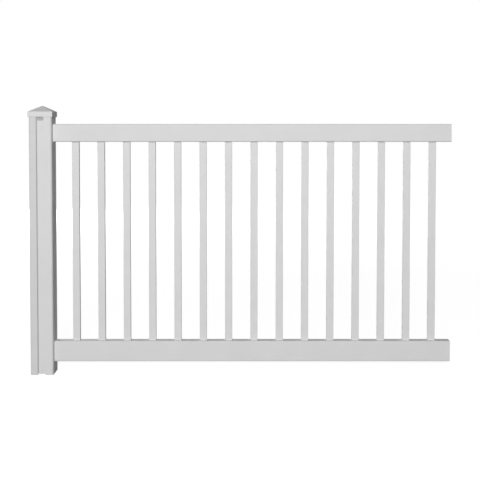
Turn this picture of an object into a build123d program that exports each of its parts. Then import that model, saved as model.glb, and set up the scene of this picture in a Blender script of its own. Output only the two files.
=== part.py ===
from build123d import *
import math
import os

# Vinyl fence panel: a snap-together post with its cap, two routed rails and a row of pickets.
# Millimetres. The origin is the middle of the post's foot, X runs along the panel, the front faces -Y.

# Post, made of a wide channel on the panel's side and a narrow strip that snaps into it
post_width = 114.3
post_height = 1325.0
post_wall = 3.4
channel_corner_radius = 11.0
strip_corner_radius = 6.0

# Seam between the two post pieces, on the front and on the back
seam_from_left = 36.2
seam_gap = 4.6
channel_lip_radius = 2.2
strip_lip_radius = 1.0
tongue_reach = 40.0
tongue_wall = 2.6
catch_height = 1.6
catch_width = 2.6
snap_clearance = 0.3

# Cut-outs in the channel beside the seam, at the top and at the foot
notch_width = 34.0
notch_corner_radius = 4.0
top_notch_below_cap = 19.0
foot_notch_height = 7.0
tongue_above_notch = 1.5

# Cap, a hollow pyramid on a skirt
cap_clearance = 0.8
cap_wall = 3.8
cap_roof_wall = 3.0
cap_skirt_overlap = 23.0
cap_rise = 29.0
cap_tip = 7.0
cap_edge_radius = 2.0

# Rails
rail_depth = 50.8
rail_wall = 2.5
rail_corner_radius = 6.0
top_rail_height = 90.0
bottom_rail_height = 105.0
ground_gap = 61.0
rail_below_cap = 36.0
rail_insert = 32.0
rail_hole_clearance = 0.3
rail_end_past_picket = 74.5

# Lock tabs, raised on both sides of a rail behind the post's wall
lock_tab_length = 12.0
lock_tab_height = 14.0
lock_tab_rise = 2.2
lock_tab_clearance = 0.3

# Weep holes through the bottom rail's underside, in the middle of a few gaps
weep_hole_diameter = 6.4
weep_hole_count = 2

# Pickets
picket_count = 15
picket_width = 36.0
picket_depth = 22.0
picket_wall = 1.6
picket_corner_radius = 2.5
picket_gap = 92.8
picket_top_insert = 32.0
picket_hole_clearance = 0.3

# Places worked out from the sizes above
post_half = post_width / 2
post_inner_half = post_half - post_wall
strip_edge = -post_half + seam_from_left
channel_edge = strip_edge + seam_gap
tongue_outer = post_inner_half - catch_height - snap_clearance
tongue_inner = tongue_outer - tongue_wall
tongue_end = strip_edge + tongue_reach
rib_right = tongue_end - catch_width - snap_clearance
rib_left = rib_right - catch_width

cap_bottom = post_height - cap_skirt_overlap
cap_eaves = post_height + cap_roof_wall
cap_inner_width = post_width + 2 * cap_clearance
cap_width = cap_inner_width + 2 * cap_wall
cap_slope = cap_rise / ((cap_width - cap_tip) / 2)

picket_pitch = picket_width + picket_gap
first_picket = post_half + picket_gap + picket_width / 2
last_picket = first_picket + (picket_count - 1) * picket_pitch
rail_left = post_half - rail_insert
rail_right = last_picket + picket_width / 2 + rail_end_past_picket
bottom_rail_top = ground_gap + bottom_rail_height
rail_top_level = cap_bottom - rail_below_cap
top_rail_bottom = rail_top_level - top_rail_height
picket_bottom = ground_gap + rail_wall
picket_top = top_rail_bottom + picket_top_insert


def block(x_low, x_high, y_low, y_high):
    # Flat rectangle given by its sides
    middle = ((x_low + x_high) / 2, (y_low + y_high) / 2)
    return Pos(*middle) * Rectangle(x_high - x_low, y_high - y_low)


def square_ring(radius):
    # Wall of the whole post, seen from above
    outer = RectangleRounded(post_width, post_width, radius)
    inner = RectangleRounded(2 * post_inner_half, 2 * post_inner_half, radius - post_wall)
    return outer - inner


def both_sides(shape):
    # A shape on the front and its mirror image on the back
    return shape + mirror(shape, Plane.XZ)


def rounded_lip(profile, edge_x, radius):
    # Rounds the outside corners of a post wall where it ends at the seam
    corners = [
        v
        for v in profile.vertices()
        if abs(v.X - edge_x) < snap_clearance / 2 and abs(v.Y) > post_half - snap_clearance / 2
    ]
    return fillet(corners, radius)


def notch_cutter(z_low, z_high):
    # Cuts a notch with rounded corners into the lips of the front and the back wall
    width = notch_width + notch_corner_radius
    height = z_high - z_low
    x_middle = channel_edge + notch_width - width / 2
    place = Plane.XZ.offset(-post_width) * Pos(x_middle, z_low + height / 2)
    return extrude(place * RectangleRounded(width, height, notch_corner_radius), 2 * post_width)


def rail_section(height, grow=0.0):
    # Outline of a rail on the plane across the panel, grown for its hole in the post
    return RectangleRounded(rail_depth + 2 * grow, height + 2 * grow, rail_corner_radius + grow)


def rail_levels():
    # Middle height and height of each rail
    return {
        "top_rail": ((rail_top_level + top_rail_bottom) / 2, top_rail_height),
        "bottom_rail": ((ground_gap + bottom_rail_top) / 2, bottom_rail_height),
    }


def picket_places():
    return [first_picket + i * picket_pitch for i in range(picket_count)]


def make_post_channel():
    profile = square_ring(channel_corner_radius) & block(channel_edge, post_half, -post_half, post_half)
    profile = rounded_lip(profile, channel_edge, channel_lip_radius)
    catch = block(rib_left, rib_right, -post_inner_half, -post_inner_half + catch_height)
    body = extrude(profile + both_sides(catch), post_height)
    for middle, height in rail_levels().values():
        hole = Plane.YZ.offset(post_inner_half - post_wall) * Pos(0, middle)
        body -= extrude(hole * rail_section(height, rail_hole_clearance), 3 * post_wall)
    body -= notch_cutter(cap_bottom - top_notch_below_cap, post_height + notch_width)
    return body - notch_cutter(-notch_width, foot_notch_height)


def make_post_strip():
    wall = square_ring(strip_corner_radius) & block(-post_half, strip_edge, -post_half, post_half)
    wall = rounded_lip(wall, strip_edge, strip_lip_radius)
    step = block(strip_edge - post_wall, strip_edge, -post_inner_half, -tongue_inner)
    tongue = block(strip_edge, tongue_end, -tongue_outer, -tongue_inner)
    hook = block(tongue_end - catch_width, tongue_end, -post_inner_half + snap_clearance, -tongue_outer)
    body = extrude(wall + both_sides(step + tongue + hook), post_height)

    # The front tongue is cut short at the foot, so that the notch there opens into the post
    relief = block(strip_edge, tongue_end, -post_half, -tongue_inner)
    return body - extrude(relief, foot_notch_height + tongue_above_notch)


def hipped(width, low, eaves, tip, tip_width):
    # A square block with a four-sided roof, where two gables cross
    half = width / 2
    tip_half = tip_width / 2
    outline = Polyline(
        (-half, low),
        (half, low),
        (half, eaves),
        (tip_half, tip),
        (-tip_half, tip),
        (-half, eaves),
        close=True,
    )
    gable = extrude(Plane.XZ * make_face(outline), half, both=True)
    return gable & Rot(0, 0, 90) * gable


def make_post_cap():
    # Skirt and roof in one, with rounded edges above a sharp hem
    body = hipped(cap_width, cap_bottom, cap_eaves, cap_eaves + cap_rise, cap_tip)
    above_hem = body.edges().filter_by(lambda edge: edge.center().Z > cap_bottom + cap_edge_radius)
    body = fillet(above_hem, cap_edge_radius)

    # The socket over the post ends at a ledge that rests on the post's top
    socket = Pos(0, 0, cap_bottom) * Rectangle(cap_inner_width, cap_inner_width)
    body -= extrude(socket, post_height - cap_bottom)

    # Above the ledge the roof is hollow, at an even thickness across its slope
    upright_wall = cap_roof_wall * math.hypot(1, cap_slope)
    hollow_eaves = cap_eaves + (cap_width / 2 - post_inner_half) * cap_slope - upright_wall
    hollow_tip = hollow_eaves + (post_inner_half - cap_tip / 2) * cap_slope
    return body - hipped(2 * post_inner_half, post_height, hollow_eaves, hollow_tip, cap_tip)


def lock_tab(middle):
    # A wedge on the rail's front that rises towards the inside of the post's wall
    high_end = post_inner_half - lock_tab_clearance
    low_end = high_end - lock_tab_length
    side = -rail_depth / 2
    outline = Polyline((low_end, side), (high_end, side), (high_end, side - lock_tab_rise), close=True)
    return extrude(Pos(0, 0, middle - lock_tab_height / 2) * make_face(outline), lock_tab_height)


def weep_hole_places():
    # Middles of a few gaps between pickets, spread evenly
    places = picket_places()
    gap_count = picket_count - 1
    chosen = [(2 * i + 1) * gap_count // (2 * weep_hole_count) for i in range(weep_hole_count)]
    return [places[gap] + picket_pitch / 2 for gap in chosen]


def make_rail(middle, height, routed_from, routed_to):
    # A hollow rail with a routed hole for each picket between two heights
    place = Plane.YZ.offset(rail_left) * Pos(0, middle)
    inner = RectangleRounded(
        rail_depth - 2 * rail_wall, height - 2 * rail_wall, rail_corner_radius - rail_wall
    )
    rail = extrude(place * (rail_section(height) - inner), rail_right - rail_left)
    rail += both_sides(lock_tab(middle))
    hole = RectangleRounded(
        picket_width + 2 * picket_hole_clearance,
        picket_depth + 2 * picket_hole_clearance,
        picket_corner_radius + picket_hole_clearance,
    )
    for x in picket_places():
        rail -= extrude(Pos(x, 0, routed_from) * hole, routed_to - routed_from)
    return rail


def make_picket(x):
    outer = RectangleRounded(picket_width, picket_depth, picket_corner_radius)
    inner = Rectangle(picket_width - 2 * picket_wall, picket_depth - 2 * picket_wall)
    return extrude(Pos(x, 0, picket_bottom) * (outer - inner), picket_top - picket_bottom)


def make_top_rail():
    middle, height = rail_levels()["top_rail"]
    return make_rail(middle, height, top_rail_bottom - rail_wall, top_rail_bottom + 2 * rail_wall)


def make_bottom_rail():
    middle, height = rail_levels()["bottom_rail"]
    rail = make_rail(middle, height, bottom_rail_top - 2 * rail_wall, bottom_rail_top + rail_wall)
    for x in weep_hole_places():
        rail -= extrude(Pos(x, 0, ground_gap - rail_wall) * Circle(weep_hole_diameter / 2), 3 * rail_wall)
    return rail


def make_nodes():
    nodes = {
        "post_channel": make_post_channel(),
        "post_strip": make_post_strip(),
        "post_cap": make_post_cap(),
        "top_rail": make_top_rail(),
        "bottom_rail": make_bottom_rail(),
    }
    for number, x in enumerate(picket_places(), 1):
        nodes[f"picket_{number:02d}"] = make_picket(x)
    return nodes


os.makedirs("parts", exist_ok=True)
for name, shape in make_nodes().items():
    export_step(shape, f"parts/{name}.step")
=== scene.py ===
import math

import bpy
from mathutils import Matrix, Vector


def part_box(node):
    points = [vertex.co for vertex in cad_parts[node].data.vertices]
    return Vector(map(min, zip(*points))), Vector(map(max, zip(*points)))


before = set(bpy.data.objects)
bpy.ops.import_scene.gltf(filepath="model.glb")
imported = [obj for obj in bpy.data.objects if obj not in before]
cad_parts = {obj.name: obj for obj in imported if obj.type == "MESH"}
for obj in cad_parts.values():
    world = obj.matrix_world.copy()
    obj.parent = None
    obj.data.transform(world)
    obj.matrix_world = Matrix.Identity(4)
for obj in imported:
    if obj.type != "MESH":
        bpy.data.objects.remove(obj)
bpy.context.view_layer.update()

# White vinyl fence panel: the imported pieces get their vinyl, and stand on a pale studio floor
print("stage 1: frame loaded,", len(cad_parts), "pieces")

mmInMetre = 1000.0


def linearColour(code):
    # sRGB hex to the linear colour that shaders take
    steps = [int(code[i:i + 2], 16) / 255 for i in (1, 3, 5)]
    return [c / 12.92 if c <= 0.04045 else ((c + 0.055) / 1.055) ** 2.4 for c in steps] + [1.0]


def newMaterial(name):
    material = bpy.data.materials.new(name)
    material.use_nodes = True
    material.node_tree.nodes.clear()
    return material


def addNode(tree, kind, settings=None, values=None, links=None):
    # One node with its settings, its socket values and what feeds its sockets
    node = tree.nodes.new(kind)
    for key, value in (settings or {}).items():
        setattr(node, key, value)
    for key, value in (values or {}).items():
        node.inputs[key].default_value = value
    for key, source in (links or {}).items():
        tree.links.new(source, node.inputs[key])
    return node


def behindWall(tree, place, inside):
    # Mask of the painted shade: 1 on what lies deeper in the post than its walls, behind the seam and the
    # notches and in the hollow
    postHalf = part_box("post_channel")[1].x
    axes = addNode(tree, "ShaderNodeSeparateXYZ", {}, {}, {"Vector": place})
    along, across = (
        addNode(
            tree, "ShaderNodeMath", {"operation": "ABSOLUTE"}, {}, {0: axes.outputs[axis]}
        ).outputs["Value"]
        for axis in ("X", "Y")
    )
    outermost = addNode(tree, "ShaderNodeMath", {"operation": "MAXIMUM"}, {}, {0: along, 1: across})
    return addNode(
        tree, "ShaderNodeMapRange", {"interpolation_type": "SMOOTHSTEP"},
        {
            "From Min": postHalf - inside["fullMm"] / mmInMetre,
            "From Max": postHalf - inside["startMm"] / mmInMetre,
            "To Min": 1.0,
            "To Max": 0.0,
        },
        {"Value": outermost.outputs["Value"]},
    ).outputs["Result"]


# What the rigid PVC of all pieces shares: its gloss, and how strongly its patterns show
vinyl = {
    "ior": 1.53,
    "metallic": 0.0,
    "roughnessSpread": 0.05,
    "reliefStrength": 0.5,
    "reliefDetail": 2.0,
    "driftDetail": 2.0,
    "waveStrength": 0.3,
    "waveDetail": 1.0,
}


def vinylMaterial(name, finish):
    # Rigid white PVC. Its tone drifts slowly between two whites, and its skin has a fine relief that
    # breaks up the soft highlight: lines along the pull where it was extruded, grain where it was moulded.
    # The relief is finer than a pixel of the whole view and only dulls the sheen, the waves are what shows.
    material = newMaterial(name)
    tree = material.node_tree
    place = addNode(tree, "ShaderNodeTexCoord").outputs["Object"]
    pulled = addNode(
        tree, "ShaderNodeMapping", {"vector_type": "POINT"}, {"Scale": finish["stretch"]}, {"Vector": place}
    ).outputs["Vector"]

    # The patches of each pattern are about as wide as the finish gives, in millimetres on the real part
    patterns = {}
    for pattern, source in {"relief": pulled, "drift": place, "wave": pulled}.items():
        values = {"Scale": mmInMetre / finish[pattern + "Mm"], "Detail": vinyl[pattern + "Detail"]}
        noise = addNode(tree, "ShaderNodeTexNoise", {}, values, {"Vector": source})
        patterns[pattern] = noise.outputs["Fac"]

    tint = addNode(
        tree, "ShaderNodeMix", {"data_type": "RGBA"},
        {"A": linearColour(finish["white"]), "B": linearColour(finish["shade"])},
        {"Factor": patterns["drift"]},
    )
    if "inside" in finish:
        # Painted shade: the vinyl is greyed where it lies deeper in the post than its walls, so that the
        # seam, the notches and the hollow read dark
        tint = addNode(
            tree, "ShaderNodeMix", {"data_type": "RGBA"}, {"B": linearColour(finish["inside"]["paintedShade"])},
            {"A": tint.outputs["Result"], "Factor": behindWall(tree, place, finish["inside"])},
        )
    rough = addNode(
        tree, "ShaderNodeMapRange", {},
        {
            "To Min": finish["roughness"] - vinyl["roughnessSpread"],
            "To Max": finish["roughness"] + vinyl["roughnessSpread"],
        },
        {"Value": patterns["relief"]},
    )
    slow = addNode(
        tree, "ShaderNodeBump", {},
        {"Strength": vinyl["waveStrength"], "Distance": finish["waveHeightMm"] / mmInMetre},
        {"Height": patterns["wave"]},
    )
    fine = addNode(
        tree, "ShaderNodeBump", {},
        {"Strength": vinyl["reliefStrength"], "Distance": finish["reliefHeightMm"] / mmInMetre},
        {"Height": patterns["relief"], "Normal": slow.outputs["Normal"]},
    )
    skin = addNode(
        tree, "ShaderNodeBsdfPrincipled", {}, {"IOR": vinyl["ior"], "Metallic": vinyl["metallic"]},
        {
            "Base Color": tint.outputs["Result"],
            "Roughness": rough.outputs["Result"],
            "Normal": fine.outputs["Normal"],
        },
    )
    addNode(tree, "ShaderNodeOutputMaterial", {}, {}, {"Surface": skin.outputs["BSDF"]})
    return material


# Post: thick extrusion with a dull sheen, with upright die lines and walls that aren't quite flat.
# Stretch draws the patterns out along the pull. The last entry is painted shade behind the walls, a darker
# grey: it starts to show, and shows in full, at these depths under the post's outer faces.
postFinish = {
    "white": "#DEDEDE",
    "shade": "#D6D6D6",
    "stretch": (1.0, 1.0, 0.01),
    "reliefMm": 2.2,
    "reliefHeightMm": 0.02,
    "waveMm": 45.0,
    "waveHeightMm": 0.5,
    "driftMm": 90.0,
    "roughness": 0.69,
    "inside": {"paintedShade": "#ADADAD", "startMm": 3.15, "fullMm": 4.95},
}

# Strip: the same extrusion from another run, a shade greyer than the channel beside it
# It shares the post's painted shade behind the walls, which greys the tongue at the floor of the seam
stripFinish = {**postFinish, "white": "#D6D6D6", "shade": "#CECECE"}

# Rails: extruded with the same dull sheen, but pulled lengthwise, so that the die lines run along the panel
railFinish = {
    "white": "#DDDDDD",
    "shade": "#D5D5D5",
    "stretch": (0.01, 1.0, 1.0),
    "reliefMm": 1.8,
    "reliefHeightMm": 0.02,
    "waveMm": 35.0,
    "waveHeightMm": 0.4,
    "driftMm": 120.0,
    "roughness": 0.69,
}

# Pickets: thin-walled extrusion, a little slicker, with upright die lines
picketFinish = {
    "white": "#DDDDDD",
    "shade": "#D4D4D4",
    "stretch": (1.0, 1.0, 0.01),
    "reliefMm": 1.4,
    "reliefHeightMm": 0.015,
    "waveMm": 25.0,
    "waveHeightMm": 0.25,
    "driftMm": 70.0,
    "roughness": 0.60,
}

# Cap: injection moulded, with a fine even grain in place of die lines
capFinish = {
    "white": "#DFDFDF",
    "shade": "#D8D8D8",
    "stretch": (1.0, 1.0, 1.0),
    "reliefMm": 1.2,
    "reliefHeightMm": 0.02,
    "waveMm": 30.0,
    "waveHeightMm": 0.15,
    "driftMm": 40.0,
    "roughness": 0.70,
}

postVinyl = vinylMaterial("postExtrudedVinyl", postFinish)
stripVinyl = vinylMaterial("stripExtrudedVinyl", stripFinish)
railVinyl = vinylMaterial("railExtrudedVinyl", railFinish)
picketVinyl = vinylMaterial("picketExtrudedVinyl", picketFinish)
capVinyl = vinylMaterial("capMouldedVinyl", capFinish)

# Every node that isn't named here is a picket
vinylOf = {
    "post_channel": postVinyl,
    "post_strip": stripVinyl,
    "post_cap": capVinyl,
    "top_rail": railVinyl,
    "bottom_rail": railVinyl,
}
for name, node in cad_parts.items():
    node.data.materials.clear()
    node.data.materials.append(vinylOf.get(name, picketVinyl))
print("stage 2: vinyl on every piece")

# Studio: grey paper that the camera sees as white, white surroundings and two soft lamps.
# The lift goes from near to far between two distances from the middle, so that the floor has no edge.
studio = {
    "middle": (1.0, 0.0, 0.0),
    "white": "#FFFFFF",
    "paper": "#8C8C8C",
    "floorSize": 60.0,
    "liftNear": 0.91,
    "liftFar": 1.0,
    "liftFrom": 2.5,
    "liftTo": 8.0,
    "ambient": 0.06,
}


def whiteToCamera(tree):
    # 1 for what the camera sees directly, mirrored or through something clear
    path = addNode(tree, "ShaderNodeLightPath")
    seen = addNode(
        tree, "ShaderNodeMath", {"operation": "MAXIMUM"}, {},
        {0: path.outputs["Is Camera Ray"], 1: path.outputs["Is Glossy Ray"]},
    )
    return addNode(
        tree, "ShaderNodeMath", {"operation": "MAXIMUM"}, {},
        {0: seen.outputs["Value"], 1: path.outputs["Is Transmission Ray"]},
    )


def makeWorld():
    # White where it is seen or mirrored, and only a dim light on the panel
    world = bpy.data.worlds.new("studioSurroundings")
    world.use_nodes = True
    tree = world.node_tree
    tree.nodes.clear()
    seen = whiteToCamera(tree)
    strength = addNode(
        tree, "ShaderNodeMapRange", {}, {"To Min": studio["ambient"], "To Max": 1.0},
        {"Value": seen.outputs["Value"]},
    )
    glow = addNode(
        tree, "ShaderNodeBackground", {}, {"Color": linearColour(studio["white"])},
        {"Strength": strength.outputs["Result"]},
    )
    addNode(tree, "ShaderNodeOutputWorld", {}, {}, {"Surface": glow.outputs["Background"]})
    bpy.context.scene.world = world


def makeFloor():
    # Grey paper throws little light up at the panel. To the camera it is lifted close to white, so that
    # only the panel's faint shadow shows on it.
    bpy.ops.mesh.primitive_plane_add(size=studio["floorSize"])
    floor = bpy.context.object
    floor.name = "studioFloor"
    material = newMaterial("paleStudioPaper")
    tree = material.node_tree
    seen = whiteToCamera(tree)
    paper = addNode(tree, "ShaderNodeBsdfDiffuse", {}, {"Color": linearColour(studio["paper"])})
    place = addNode(tree, "ShaderNodeTexCoord")
    away = addNode(
        tree, "ShaderNodeVectorMath", {"operation": "DISTANCE"}, {1: studio["middle"]},
        {0: place.outputs["Object"]},
    )
    lift = addNode(
        tree, "ShaderNodeMapRange", {"interpolation_type": "SMOOTHSTEP"},
        {
            "From Min": studio["liftFrom"],
            "From Max": studio["liftTo"],
            "To Min": studio["liftNear"],
            "To Max": studio["liftFar"],
        },
        {"Value": away.outputs["Value"]},
    )
    strength = addNode(
        tree, "ShaderNodeMath", {"operation": "MULTIPLY"}, {},
        {0: seen.outputs["Value"], 1: lift.outputs["Result"]},
    )
    glow = addNode(
        tree, "ShaderNodeEmission", {}, {"Color": linearColour(studio["white"])},
        {"Strength": strength.outputs["Value"]},
    )
    both = addNode(
        tree, "ShaderNodeAddShader", {}, {}, {0: paper.outputs["BSDF"], 1: glow.outputs["Emission"]}
    )
    addNode(tree, "ShaderNodeOutputMaterial", {}, {}, {"Surface": both.outputs["Shader"]})
    floor.data.materials.append(material)


def turnTo(place, aim):
    # Turns a lamp's -Z towards the aim
    return (Vector(aim) - Vector(place)).to_track_quat("-Z", "Y").to_euler()


def softLamp(name, lamp):
    light = bpy.data.lights.new(name, "AREA")
    light.shape = "DISK"
    light.size = lamp["size"]
    light.energy = lamp["power"]
    stand = bpy.data.objects.new(name, light)
    bpy.context.scene.collection.objects.link(stand)
    stand.location = lamp["place"]
    stand.rotation_euler = turnTo(lamp["place"], lamp["aim"])


# The front lamp stands a little left of the panel's middle and about 3 m up. The back lamp stands low
# behind it, on the post's side, and keeps the back of the panel light.
frontLamp = {"place": (0.5, -9.0, 3.2), "aim": (1.0, 0.0, 0.7), "size": 3.2, "power": 728.0}
backLamp = {"place": (-3.5, 8.5, 1.2), "aim": (1.0, 0.0, 0.7), "size": 2.5, "power": 620.0}

makeWorld()
makeFloor()
softLamp("frontLamp", frontLamp)
softLamp("backLamp", backLamp)
print("stage 3: studio")

# Camera where the photograph was taken from: in front of the panel's middle, nearly level
view = {
    "place": (0.9986, -4.5275, 1.2479),
    "sensorWidth": 36.0,
    "lens": 67.093,
    "shiftY": -0.165,
    "pitchDown": 2.125,
}
camera = bpy.data.objects.new("photoCamera", bpy.data.cameras.new("photoCamera"))
bpy.context.scene.collection.objects.link(camera)
bpy.context.scene.camera = camera
camera.data.sensor_width = view["sensorWidth"]
camera.data.lens = view["lens"]
camera.data.shift_y = view["shiftY"]
camera.location = view["place"]
camera.rotation_euler = (math.radians(90 - view["pitchDown"]), 0.0, 0.0)  # 90 degrees is level, along +Y
bpy.context.scene.view_settings.view_transform = "Standard"
print("stage 4: camera")
